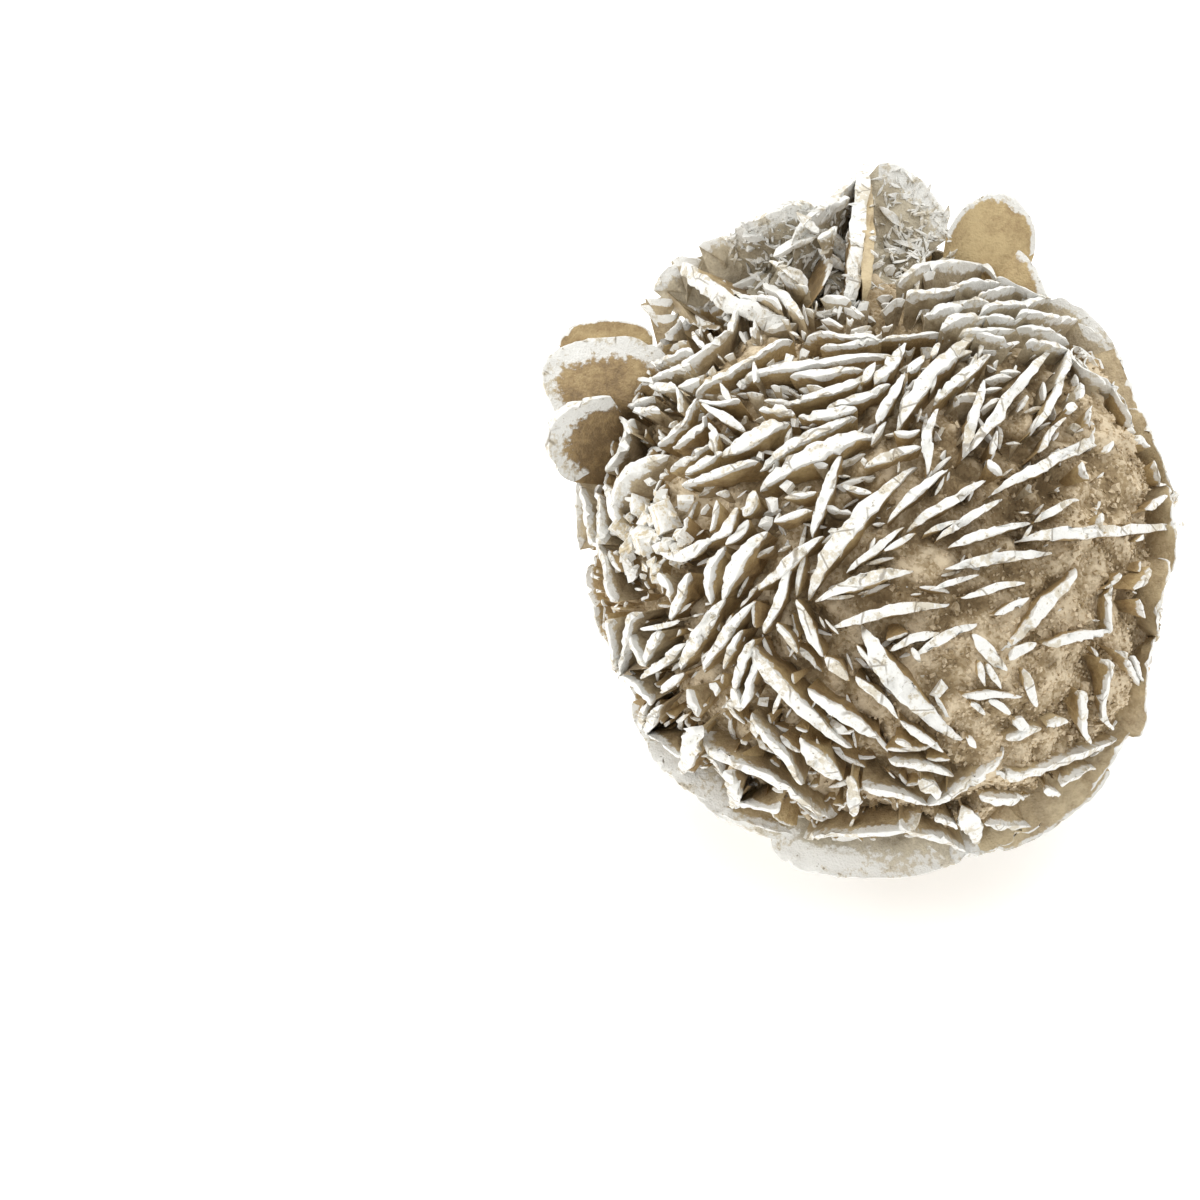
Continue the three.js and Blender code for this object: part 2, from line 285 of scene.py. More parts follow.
# A layer of noise is its height and its size in millimetres, then its seed. A span is where a value starts to
# rise and where it is full: here, along the direction out of the ball.
LUMPS = [(2.2, 4.0, 1), (2.0, 1.9, 2), (0.7, 0.9, 3)]
CRUST_RIGHT = (-0.1, 0.25)
CRUST_FRONT = (0.35, -0.15)
CRUST_TOP = (0.86, 0.61)
OUTLINE_FADE = (0.98, 0.78)
SAND_BOTTOM = 0.4
HASH_PLACE = (374761393, 668265263, 2246822519)
HASH_SEED = 3266489917
HASH_MIX = 1274126177


def noise(points, size, seed):
    """Smooth values from 0 to 1: a hash at each corner of a lattice of cubes of this size, blended between
    the corners."""
    cell = np.asarray(points) / size + seed * 17.31
    low = np.floor(cell)
    part = cell - low
    part = part * part * (3 - 2 * part)
    low = low.astype(np.int64)
    total = 0
    for corner in itertools.product((0, 1), repeat=3):
        number = seed * HASH_SEED
        weight = 1
        for axis, step in enumerate(corner):
            number = number + (low[..., axis] + step) * HASH_PLACE[axis]
            weight = weight * (part[..., axis] if step else 1 - part[..., axis])
        number = number & 0xFFFFFFFF
        number = ((number ^ (number >> 13)) * HASH_MIX) & 0xFFFFFFFF
        total = total + ((number ^ (number >> 16)) & 0xFFFF) / 65535 * weight
    return total


def closed_grid(rows, columns):
    """The faces of a globe of rings: a corner at each pole, then rows of a corner for each column."""
    ring = np.arange(columns)
    beside = (ring + 1) % columns
    start = 2 + np.arange(rows - 1)[:, None] * columns
    quads = np.stack([start + ring, start + columns + ring, start + columns + beside, start + beside], -1)
    first = np.stack([np.zeros(columns, int), 2 + ring, 2 + beside], -1)
    last_row = 2 + (rows - 1) * columns
    last = np.stack([np.ones(columns, int), last_row + beside, last_row + ring], -1)
    return quads.reshape(-1, 4), np.concatenate([first, last])


def layered(points, layers):
    """The sum of layers of noise round 0, each with its height, its size and its seed."""
    return sum(height * (noise(points, size, seed) - 0.5) for height, size, seed in layers)


def rising(values, start, end):
    """0 before the start, 1 past the end, and in a straight line between them. The end may come first."""
    return np.clip((values - start) / (end - start), 0, 1)


def between(ends, share):
    """The value that lies this share of the way from the first end to the second."""
    return ends[0] + (ends[1] - ends[0]) * share


def unit(vectors):
    """Each vector over its length."""
    return vectors / np.linalg.norm(vectors, axis=-1, keepdims=True)


def dot(a, b):
    """The scalar product of each pair of vectors, kept as a column."""
    return np.sum(a * b, -1, keepdims=True)


def point_on(lobe, x, y, depth=0.0):
    """Where each pixel's line of sight first meets a lobe shrunk by a depth, or comes nearest to it."""
    radii = lobe["radii"] - np.asarray(depth, float)[..., None]
    sight = sight_lines(x, y)
    start, way = (EYE - lobe["middle"]) / radii, sight / radii
    a, b, c = dot(way, way), dot(start, way), dot(start, start) - 1
    return EYE + sight * (-b - np.sqrt(np.maximum(0, b * b - a * c))) / a


def sunk(points):
    """How deep each point lies under the nearest lobe's surface, in millimetres, about. The sand and the
    blades darken with it as painted shade.
    """
    depths = []
    for lobe in (BALL, CROWN, FINS):
        away = np.linalg.norm((points - lobe["middle"]) / lobe["radii"], axis=-1)
        depths.append((1 - away) * lobe["radii"].mean())
    return np.max(depths, 0)


def crust_share(way):
    """1 in front at the right, where a thick crust of sand lies between the blades, and 0 elsewhere."""
    in_front = rising(way @ AHEAD, *CRUST_FRONT)
    return rising(way[:, 0], *CRUST_RIGHT) * in_front * rising(way[:, 2], *CRUST_TOP)


def inside_outline(way):
    """1 over most of the front, and 0 at the right outline, where bare plates stand, not the crust."""
    return rising(way[:, 0], *OUTLINE_FADE)


def sandy_mass(lobe, rows, deeper):
    """A lobe shrunk by the sand's depth and a deeper step, whose surface goes in and out by lumps of several
    sizes and rises by the crust. Gives its corners, how high each lies on its lump, and its faces."""
    columns = rows * 2
    polar = (np.arange(rows) + 1)[:, None] * math.pi / (rows + 1)
    round_angle = np.arange(columns)[None, :] * 2 * math.pi / columns
    ring = [np.sin(polar) * np.cos(round_angle), np.sin(polar) * np.sin(round_angle),
            np.cos(polar) + 0 * round_angle]
    way = np.concatenate([[[0, 0, 1.0], [0, 0, -1.0]], np.stack(ring, -1).reshape(-1, 3)])
    wave = np.sin(5 * way[:, 0] + 2 * way[:, 2]) * np.sin(6 * way[:, 1] - 3 * way[:, 2] + 1) * SAND_LUMP
    rough = lobe["middle"] + way * (lobe["radii"] - SAND_DEPTH)
    lumps = layered(rough, LUMPS)
    rise = wave + lumps + CRUST_RISE * crust_share(way) * inside_outline(way) - deeper
    rise = rise - OUTLINE_DROP * (1 - inside_outline(way))
    corners = lobe["middle"] + way * (lobe["radii"] - SAND_DEPTH + rise[:, None])
    corners[:, 2] = np.maximum(corners[:, 2], SAND_BOTTOM)
    return corners, lumps, closed_grid(rows, columns)


sand, sand_shader, place = new_material("bound_sand")
deep, relief, grey = [place.mark(name) for name in ("deep", "relief", "grey")]
patches = place.specks(PATCHES_A_METRE, 3.0)
grains, edges = [place.cells(GRAINS_A_METRE, output) for output in ("Color", "Distance")]
grain_value = place.node("ShaderNodeSeparateColor", None, {"Color": grains})
tone = patches.step(0.3, 0.7) * 0.55 + grain_value * 0.45 + 0.14
# Painted shade: the sand darkens the deeper it lies under the lobes' surface, and its lumps are lighter on
# top and darker in their hollows. On the coarse grains this second mark is a random tone instead.
tone = tone - deep.step(1.5, 6.0) * 0.15 + relief * 0.34
warm = tone.ramp((0.0, SAND_DARK), (1.0, SAND_PALE), (0.5, SAND_TAN))
dull = tone.ramp((0.0, DRUSE_DARK), (1.0, DRUSE_PALE))
grey.mix(warm, dull).into(sand_shader, "Base Color")
(1 - edges).bump(GRAIN_BUMP, GRAIN_HEIGHT).into(sand_shader, "Normal")
sand_shader.inputs["Roughness"].default_value = SAND_ROUGHNESS


def fixed(piece):
    """Fastens a piece to the rose's root body and hides the rose's own solid from model.glb."""
    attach(piece, "root")
    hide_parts("sand_rose")


LOW_CORNER, HIGH_CORNER = (np.array(corner) / MM for corner in cad_box)
BLOCK_PUSH = (0.35, 1.2)
BLOCK_STRETCH = (0.55, 1.2)


def blocks(middles, half_sizes, random):
    """Little blocks, each a cube whose corners are pushed in and out, turned and scaled, all at random."""
    many = len(middles)
    cube = np.array([[i, j, k] for i in (-1, 1) for j in (-1, 1) for k in (-1, 1)], float)
    shape = cube * random.uniform(*BLOCK_PUSH, (many, 8, 3)) * random.uniform(*BLOCK_STRETCH, (many, 1, 3))
    first = unit(random.normal(0, 1, (many, 3)))
    second = unit(np.cross(first, random.normal(0, 1, (many, 3))))
    frames = np.stack([first, second, np.cross(first, second)], 1)
    corners = middles[:, None] + np.einsum("nci,nij->ncj", shape * half_sizes[:, None, None], frames)
    quads = np.array([[0, 1, 3, 2], [4, 6, 7, 5], [0, 4, 5, 1], [2, 3, 7, 6], [0, 2, 6, 4], [1, 5, 7, 3]])
    faces = quads[None] + 8 * np.arange(many)[:, None, None]
    return np.clip(corners.reshape(-1, 3), LOW_CORNER, HIGH_CORNER), faces.reshape(-1, 4)


ball_sand, ball_lump_shade, ball_faces = sandy_mass(BALL, SAND_ROWS, 0.0)
crown_sand, crown_lump_shade, crown_faces = sandy_mass(CROWN, SAND_ROWS // 2, CROWN_SAND_DEPTH)
sand_marks = {"deep": sunk(ball_sand), "relief": ball_lump_shade, "grey": 0 * ball_lump_shade}
fixed(new_mesh("sand_in_the_ball", ball_sand, ball_faces, sand, sand_marks))
sand_marks = {"deep": sunk(crown_sand), "relief": crown_lump_shade, "grey": CROWN_GREY + 0 * crown_lump_shade}
crown_sand_piece = new_mesh("sand_in_the_crown", crown_sand, crown_faces, sand, sand_marks)
fixed(crown_sand_piece)

# Coarse grains of sand stand out of the mass, close together on the crust and scattered elsewhere.
GRAIN_COUNT = 7500
GRAIN_SEED = 8
GRAIN_HALF = (0.16, 0.5)
GRAIN_LIFT = 0.12
GRAIN_CREASE = math.radians(25)
GRAIN_RELIEF = (-0.4, 1.5)
GRAINS_ELSEWHERE = 0.12
SMALL_GRAINS = 2.5

random = np.random.default_rng(GRAIN_SEED)
way = unit((ball_sand - BALL["middle"]) / BALL["radii"])
area = np.sqrt(np.clip(1 - way[:, 2] ** 2, 0, 1))
chance = area * (GRAINS_ELSEWHERE + crust_share(way) * inside_outline(way))
chance = chance * (noise(ball_sand, 5.0, 13) + 0.15)
chosen = random.choice(len(ball_sand), GRAIN_COUNT, False, chance / chance.sum())
half_sizes = between(GRAIN_HALF, random.random(GRAIN_COUNT) ** SMALL_GRAINS)
corners, faces = blocks(ball_sand[chosen] + way[chosen] * GRAIN_LIFT, half_sizes, random)
grain_relief = np.repeat(random.uniform(*GRAIN_RELIEF, GRAIN_COUNT), 8)
sand_marks = {"deep": sunk(corners), "relief": grain_relief, "grey": 0 * grain_relief}
fixed(new_mesh("coarse_grains", corners, [faces], sand, sand_marks, GRAIN_CREASE))

# The blades are gypsum crystals, each a thin disc whose rim stands out of the sand. The rims are frosted
# white where they are worn, and the faces behind them are brown from the sand that the crystal took in as
# it grew.
RIM_DIP = 0.17
RIM_OVERRUN = 1.06
LEAST_REACH = 7.0
REACH_PER_LENGTH = 0.38
NECK = 0.8
FROST_DEPTH = 1.15
BARE_RIM = 0.06
ALL_FROST = 20
BLADE_CREASE = math.radians(38)
# A kind of blade is the least length that it is for, how many steps its rim and its root have, how far back
# from the rim the rows on a face lie, and where the rows across the rim lie, from one face to the other.
FINE_BLADE = {"least": 9.0, "arc_steps": 36, "root_steps": 6, "back": [0.05, 0.2, 0.5, 0.9, 1.6, 2.6, 4.2],
              "over": [0.94, 0.55, 0.0, -0.55, -0.94]}
PLAIN_BLADE = {"least": 4.5, "arc_steps": 22, "root_steps": 6, "back": [0.05, 0.3, 0.9, 2.0, 4.2],
               "over": [0.92, 0.4, -0.4, -0.92]}
BROAD_BLADE = {"least": 0.0, "arc_steps": 18, "root_steps": 4, "back": [0.05, 0.5, 1.6, 3.8],
               "over": [0.9, 0.0, -0.9]}
SMALL_BLADE = {"least": 0.0, "arc_steps": 7, "root_steps": 2, "back": [0.05, 1.0], "over": [0.75, -0.75]}
END_SHARE = 0.05
END_POINT = 1.5
END_BLUNT = 1.15
MARKS = ("edge", "tone", "deep", "grey")
FROST_WHITE = (0.83, 0.83, 0.80, 1)
FROST_GREY = (0.58, 0.56, 0.49, 1)
THIN_FROST = (0.60, 0.54, 0.42, 1)
FACE_TAN = (0.56, 0.43, 0.225, 1)
FACE_BROWN = (0.36, 0.25, 0.12, 1)
FACE_DARK = (0.19, 0.125, 0.058, 1)
GREY_DARK = (0.20, 0.175, 0.125, 1)
GREY_PALE = (0.72, 0.69, 0.58, 1)
SPECK_DARK = (0.20, 0.16, 0.11, 1)
BROAD_A_METRE = 260.0
FINE_A_METRE = 1100.0
GRIT_A_METRE = 3600.0
CRACKS_A_METRE = 170.0
CRACK_WIDTH = (0.006, 0.03)
FACE_BUMP = 0.6
FACE_HEIGHT = 0.0003
POLE_DEPTH = 0.45
ROOT_THICKNESS = 3
BACK_SLANT = 0.4
WAVE_OF_LENGTH = 0.06
MOST_WAVE = 0.8
RIM_RAGGED = [(0.5, 1.7, 5), (0.35, 0.6, 6)]
NOTCH = {"size": 1.2, "seed": 12, "from": 0.7, "to": 0.82, "depth": 0.8}
FACE_SWELL = [(0.35, 2.1, 7), (0.6, 0.7, 8)]
FINE_WAVE = (0.2, 2.2, 10)
INWARD_SHARE = 0.8
RIM_BULGE = 0.05
NECK_SPAN = (0.2, 1.8)
WEAR_SPAN = (1.8, 0.6)
LEAST_WEAR = 0.25
POLE_EDGE = 9.0
NO_FROST = 4


def outwards(lobe, points):
    """The direction straight out of a lobe: the offset from its middle over the square of its radii."""
    return unit((points - lobe["middle"]) / lobe["radii"] ** 2)


def blade_set(first, middle, last, outward, thick, reach, frost, light=0.0, grey=0.0, blunt=0.0):
    """Blades by their rims' ends and middles and the way out of the rose. A blade is so thick, and reaches so
    far back into the sand. Frost is how far the white goes down its faces, in millimetres; light and grey
    change the faces' brown. A blunt rim keeps its thickness to its ends."""
    blades = {"first": first, "middle": middle, "last": last, "outward": outward}
    values = {"thick": thick, "reach": reach, "frost": frost, "light": light, "grey": grey, "blunt": blunt}
    for key, value in values.items():
        blades[key] = value + np.zeros(len(middle))
    return blades


def read_rims(lobe, rows, reach=None, frost=FROST_DEPTH, light=0.0, grey=0.0, blunt=0.0):
    """Blades from rims read in the picture: both ends on the lobe less a dip, and the middle on the lobe."""
    rows = np.array(rows, float)
    length = np.hypot(rows[:, 4] - rows[:, 0], rows[:, 5] - rows[:, 1]) * MM_PER_PIXEL
    first, last = [point_on(lobe, rows[:, i], rows[:, i + 1], RIM_DIP * length) for i in (0, 4)]
    middle = point_on(lobe, rows[:, 2], rows[:, 3])
    if reach is None:
        reach = np.maximum(LEAST_REACH, REACH_PER_LENGTH * length)
    thick = rows[:, 6] * MM_PER_PIXEL
    return blade_set(first, middle, last, outwards(lobe, middle), thick, reach, frost, light, grey, blunt)


def together(*groups):
    """Several groups of blades as one."""
    return {key: np.concatenate([group[key] for group in groups]) for key in groups[0]}


def disc_blades(blades, kind):
    """Closed discs, one for each blade. Round its outline, a blade runs as a flat half ellipse through the
    rim's two ends and its middle, and back as a deep half ellipse in the sand. From the pole of its near face
    to that of its far face, it widens to the rim, crosses it and narrows again. The blade bends sideways so
    that its rim passes through its middle point. Gives corners, faces and, for each corner, its marks: the
    distance back from the rim over the frost's depth, the tone, the depth and the grey."""
    many = len(blades["middle"])
    arc_steps, root_steps = kind["arc_steps"], kind["root_steps"]
    from_rim, over = np.array(kind["back"]), np.array(kind["over"])
    chord = blades["last"] - blades["first"]
    length = np.linalg.norm(chord, axis=1)[:, None, None]
    along = unit(chord)
    up = unit(blades["outward"] - along * dot(blades["outward"], along))
    side = np.cross(along, up)
    centre = (blades["first"] + blades["last"]) / 2
    bow = blades["middle"] - centre
    skew, rise, bend = (dot(bow, axis)[:, None] for axis in (along, up, side))
    thick, reach, blunt = [blades[key][:, None, None] for key in ("thick", "reach", "blunt")]
    angle = np.concatenate([np.arange(arc_steps) * math.pi / arc_steps,
                            math.pi + np.arange(root_steps) * math.pi / root_steps])[None, :, None]
    exposed = np.maximum(np.sin(angle), 0)
    out_x = length / 2 * RIM_OVERRUN * np.cos(angle) + skew * exposed ** 2
    out_y = np.where(np.sin(angle) >= 0, rise * exposed, reach * np.sin(angle))
    pole_y = -POLE_DEPTH * reach
    span = np.hypot(out_x, out_y - pole_y)
    taper = exposed ** (END_POINT - END_BLUNT * blunt)
    half = thick / 2 * (END_SHARE + (1 - END_SHARE) * taper)
    half = half * np.where(np.sin(angle) >= 0, 1, ROOT_THICKNESS)
    back = np.concatenate([from_rim[::-1], 0 * over, from_rim])[None, None, :]
    across = np.concatenate([np.ones(len(from_rim)), over, -np.ones(len(from_rim))])[None, None, :]
    bulge = np.concatenate([0 * from_rim, 1 - over ** 2, 0 * from_rim])[None, None, :]
    inward = np.minimum(back, INWARD_SHARE * span * back / from_rim[-1])
    keep = 1 - inward / span + RIM_BULGE * bulge * half / span
    x, y = out_x * keep, pole_y + (out_y - pole_y) * keep
    neck = 1 - (1 - NECK) * rising(back, *NECK_SPAN)
    level = rising(y, pole_y, rise)
    axes = [axis[:, None, None, :] for axis in (along, up, side)]
    on_chord = centre[:, None, None, :] + x[..., None] * axes[0]
    mid_plane = on_chord + BACK_SLANT * y[..., None] * axes[1]
    broad_wave = (np.minimum(MOST_WAVE, WAVE_OF_LENGTH * length), 5.0, 9)
    wave = layered(mid_plane, [broad_wave, FINE_WAVE]) * exposed ** 0.5
    sideways = bend * (1 - np.clip(2 * x / length, -1, 1) ** 2) * level + across * half * neck + wave
    points = on_chord + y[..., None] * axes[1] + sideways[..., None] * axes[2]
    wear = np.maximum(LEAST_WEAR, rising(back, *WEAR_SPAN))[..., None] * exposed[..., None] ** 0.5
    notch = rising(noise(points, NOTCH["size"], NOTCH["seed"]), NOTCH["from"], NOTCH["to"])
    ragged = layered(points, RIM_RAGGED) - NOTCH["depth"] * notch
    points = points + axes[1] * ragged[..., None] * wear
    swell = layered(points, FACE_SWELL)
    points = points + axes[2] * (swell * across * half)[..., None] * np.clip(wear + 0.25, 0, 1)
    columns, rows = points.shape[1:3]
    near_and_far = np.array([1, -1])[None, :, None] * side[:, None, :]
    poles = centre[:, None, :] + pole_y * up[:, None, :] + near_and_far * (thick * NECK / 2)
    corners = np.concatenate([poles, points.transpose(0, 2, 1, 3).reshape(many, -1, 3)], 1)
    over_low = np.maximum(0, LOW_CORNER - corners.min(1))
    over_high = np.maximum(0, corners.max(1) - HIGH_CORNER)
    corners = np.clip(corners + (over_low - over_high)[:, None], LOW_CORNER, HIGH_CORNER)
    quads, ends = closed_grid(rows, columns)
    first_corner = (np.arange(many) * corners.shape[1])[:, None, None]
    edge, hidden = [np.broadcast_to(value, (many, columns, rows)).transpose(0, 2, 1).reshape(many, -1)
                    for value in (back + 0 * span, 1 - exposed)]
    edge = (np.concatenate([np.full((many, 2), POLE_EDGE), edge], 1) + BARE_RIM) / blades["frost"][:, None]
    deep = sunk(corners)
    foot = NO_FROST * np.concatenate([np.ones((many, 2)), hidden > 0.999], 1)
    edge = edge + np.where(blades["frost"][:, None] < ALL_FROST, foot, 0)
    tone = (noise(blades["middle"], 3.0, 11) + blades["light"])[:, None] + 0 * edge
    grey = blades["grey"][:, None] + 0 * edge
    quads, ends = (quads + first_corner).reshape(-1, 4), (ends + first_corner).reshape(-1, 3)
    return [corners.reshape(-1, 3), quads, ends, edge.ravel(), tone.ravel(), deep.ravel(), grey.ravel()]


gypsum, gypsum_shader, place = new_material("frosted_gypsum")
edge, tone, deep, grey = [place.mark(name) for name in MARKS]
broad = place.specks(BROAD_A_METRE, 2.0)
fine = place.specks(FINE_A_METRE, 4.0, 0.65)
grit = place.specks(GRIT_A_METRE, 1.0)
cells = place.cells(CRACKS_A_METRE, 0, "DISTANCE_TO_EDGE")
face_tone = broad * 1.3 + fine * 1.2 + grit * 0.4 + tone * 0.35 - 0.96
# Painted shade: the faces darken the deeper they lie under the lobes' surface, where the recesses between
# blades would be shaded.
face_tone = face_tone - deep.step(0.3, 5.5) * 0.3
warm = face_tone.ramp((0.0, FACE_DARK), (1.0, FACE_TAN), (0.45, FACE_BROWN))
cool = (face_tone - 0.05).ramp((0.0, GREY_DARK), (1.0, GREY_PALE))
face = grey.mix(warm, cool)
ragged = edge + fine * 1.6 + broad * 0.9 - 1.25
frost = 1 - ragged.step(0.6, 1.0)
thin = (fine * 0.7 + broad * 0.6).step(0.66, 0.78) * 0.85
worn = (fine * 0.8 + grit * 0.3).ramp((0.0, FROST_GREY), (0.45, FROST_WHITE))
crack = (1 - cells.step(*CRACK_WIDTH)) * broad.step(0.45, 0.55)
crack = crack * (1 - edge.step(0.1, 0.5)) * (1 - grey) * 0.7
speck = (grit * 0.35 + fine * 0.8).step(0.68, 0.78) * 0.7
chalk = crack.mix(speck.mix(thin.mix(worn, THIN_FROST), SPECK_DARK), SPECK_DARK)
frost.mix(face, chalk).into(gypsum_shader, "Base Color")
(frost * 0.3 + 0.5).into(gypsum_shader, "Roughness")
(fine + grit * 0.5).bump(FACE_BUMP, FACE_HEIGHT).into(gypsum_shader, "Normal")


def blade_piece(name, blades, kinds=(FINE_BLADE, PLAIN_BLADE, SMALL_BLADE)):
    """One mesh of all the blades of a group, the long ones made finer than the short ones."""
    length = np.linalg.norm(blades["last"] - blades["first"], axis=1)
    most = math.inf
    made = []
    start = 0
    for kind in kinds:
        chosen = (length >= kind["least"]) & (length < most)
        most = kind["least"]
        if chosen.any():
            part = disc_blades({key: value[chosen] for key, value in blades.items()}, kind)
            part[1:3] = [faces + start for faces in part[1:3]]
            start += len(part[0])
            made.append(part)
    corners, quads, ends, *marks = [np.concatenate(column) for column in zip(*made)]
    piece = new_mesh(name, corners, [quads, ends], gypsum, dict(zip(MARKS, marks)), BLADE_CREASE)
    fixed(piece)
    return piece


# The rosette is the ball's front, where blades radiate from a middle a little left of centre. Each row of
# these lists is a rim as it is seen: its first end, middle and last end in pixels across and down, then its
# thickness in pixels.
ROSETTE_RIMS = [
    (700, 399, 738, 365, 791, 344, 9), (661, 447, 680, 425, 699, 401, 8), (675, 449, 690, 434, 707, 418, 6),
    (703, 406, 724, 417, 744, 431, 8), (700, 402, 720, 403, 740, 402, 4), (720, 383, 724, 392, 728, 400, 5),
    (744, 390, 803, 364, 896, 365, 8), (808, 346, 861, 337, 940, 341, 6), (822, 350, 850, 344, 880, 342, 5),
    (792, 378, 825, 372, 861, 372, 8), (786, 407, 832, 390, 873, 379, 9), (828, 410, 858, 397, 889, 386, 8),
    (800, 418, 830, 412, 856, 411, 10), (760, 411, 776, 408, 794, 415, 8),
    (724, 457, 756, 435, 788, 426, 15), (763, 471, 805, 436, 855, 421, 9),
    (764, 491, 815, 449, 875, 440, 16), (685, 487, 720, 471, 757, 463, 7),
    (687, 475, 702, 461, 722, 453, 8), (672, 472, 686, 457, 710, 446, 4), (710, 424, 713, 438, 716, 453, 9),
    (866, 468, 890, 455, 920, 449, 9), (841, 459, 823, 497, 813, 535, 11),
    (761, 589, 787, 564, 822, 538, 10), (812, 597, 846, 533, 915, 472, 15),
    (889, 522, 915, 494, 946, 471, 8), (937, 411, 926, 440, 927, 473, 9),
    (935, 405, 958, 381, 989, 357, 10), (899, 432, 926, 379, 974, 341, 14),
    (894, 433, 907, 433, 920, 431, 6), (878, 424, 890, 398, 904, 374, 10),
    (908, 372, 915, 364, 924, 356, 9), (861, 383, 868, 372, 875, 362, 8),
    (875, 384, 888, 366, 905, 345, 12), (931, 356, 935, 349, 939, 343, 6),
    (983, 383, 974, 421, 963, 456, 10), (962, 459, 1003, 403, 1049, 355, 11),
    (997, 431, 995, 443, 992, 455, 6), (988, 460, 995, 466, 1002, 476, 7),
    (1031, 431, 1050, 402, 1072, 358, 7), (1038, 452, 1050, 435, 1065, 418, 6),
    (1066, 410, 1072, 406, 1078, 403, 8), (990, 497, 1050, 461, 1130, 427, 11),
    (938, 540, 967, 519, 1000, 501, 8), (925, 534, 942, 526, 959, 521, 5),
    (909, 532, 942, 506, 983, 482, 9), (848, 572, 873, 549, 903, 529, 7), (884, 551, 900, 542, 915, 534, 6),
    (950, 548, 985, 534, 1028, 525, 8), (1035, 522, 1053, 512, 1071, 502, 8),
    (1016, 543, 1090, 534, 1178, 525, 11), (947, 569, 1000, 557, 1048, 554, 10),
    (818, 601, 862, 579, 911, 572, 12), (836, 626, 885, 611, 946, 604, 11),
    (931, 589, 953, 581, 978, 575, 5), (962, 597, 992, 587, 1023, 583, 7),
    (995, 614, 1011, 607, 1028, 598, 6), (891, 650, 912, 639, 938, 633, 8),
    (915, 654, 945, 637, 975, 624, 9), (912, 648, 916, 655, 920, 663, 5),
    (1072, 570, 1045, 609, 1000, 649, 11), (973, 635, 987, 649, 1006, 670, 12),
    (1008, 659, 1022, 651, 1036, 643, 10), (1043, 643, 1075, 638, 1106, 631, 10),
    (1023, 670, 1029, 688, 1036, 706, 9), (979, 661, 982, 673, 985, 686, 5),
    (986, 663, 994, 675, 1001, 689, 6), (963, 695, 990, 697, 1020, 696, 7),
    (988, 700, 999, 706, 1010, 714, 8), (970, 703, 977, 708, 985, 715, 6),
    (797, 601, 808, 628, 823, 655, 9), (826, 657, 836, 668, 849, 680, 10),
    (857, 677, 875, 694, 897, 717, 8), (778, 623, 786, 638, 797, 653, 8),
    (864, 627, 893, 681, 960, 736, 20), (857, 645, 865, 657, 876, 669, 5),
    (901, 721, 920, 737, 942, 751, 7), (895, 740, 903, 744, 912, 747, 5),
    (810, 689, 840, 714, 878, 735, 12), (756, 641, 777, 684, 850, 744, 14),
    (801, 739, 818, 762, 842, 778, 17), (755, 641, 741, 662, 735, 694, 9),
    (759, 660, 750, 678, 742, 709, 7), (791, 568, 778, 600, 766, 632, 9),
    (767, 534, 741, 555, 724, 599, 14), (726, 548, 708, 570, 712, 603, 8),
    (725, 600, 697, 633, 684, 668, 13), (683, 674, 671, 683, 660, 693, 8),
    (755, 603, 722, 636, 706, 668, 9), (743, 631, 730, 647, 725, 668, 6), (710, 683, 713, 689, 717, 696, 6),
    (691, 574, 679, 596, 672, 619, 10), (662, 553, 690, 554, 712, 541, 11),
    (712, 541, 726, 527, 738, 509, 10), (755, 491, 750, 504, 745, 517, 10),
    (750, 521, 738, 532, 726, 545, 8), (775, 522, 792, 515, 811, 511, 6), (785, 498, 800, 495, 817, 493, 5),
    (842, 485, 856, 488, 872, 493, 5), (717, 500, 714, 516, 711, 532, 4),
]

blade_piece("rosette_blades", read_rims(BALL, ROSETTE_RIMS))

# Down the left edge, blades stand one behind the other like the leaves of a book, with their rims towards
# the left.
LEFT_EDGE_RIMS = [
    (582, 487, 585, 515, 596, 544, 11), (597, 494, 600, 518, 606, 543, 8),
    (606, 485, 610, 503, 618, 521, 9), (668, 457, 622, 477, 618, 521, 13),
    (635, 421, 620, 446, 609, 472, 10), (603, 431, 594, 447, 584, 466, 7),
    (616, 400, 613, 418, 610, 438, 6), (620, 418, 625, 425, 631, 433, 6), (596, 544, 606, 572, 618, 600, 8),
    (578, 482, 576, 515, 580, 548, 5), (615, 620, 611, 645, 615, 669, 8), (643, 614, 627, 640, 621, 677, 9),
    (631, 633, 636, 652, 646, 665, 7), (642, 628, 660, 626, 679, 621, 5), (662, 632, 650, 645, 646, 662, 9),
    (643, 677, 663, 659, 686, 644, 8), (620, 680, 638, 688, 655, 699, 10),
    (659, 573, 664, 584, 671, 597, 8),
]

blade_piece("left_edge_blades", read_rims(BALL, LEFT_EDGE_RIMS, frost=1.6, grey=0.35, blunt=0.4))

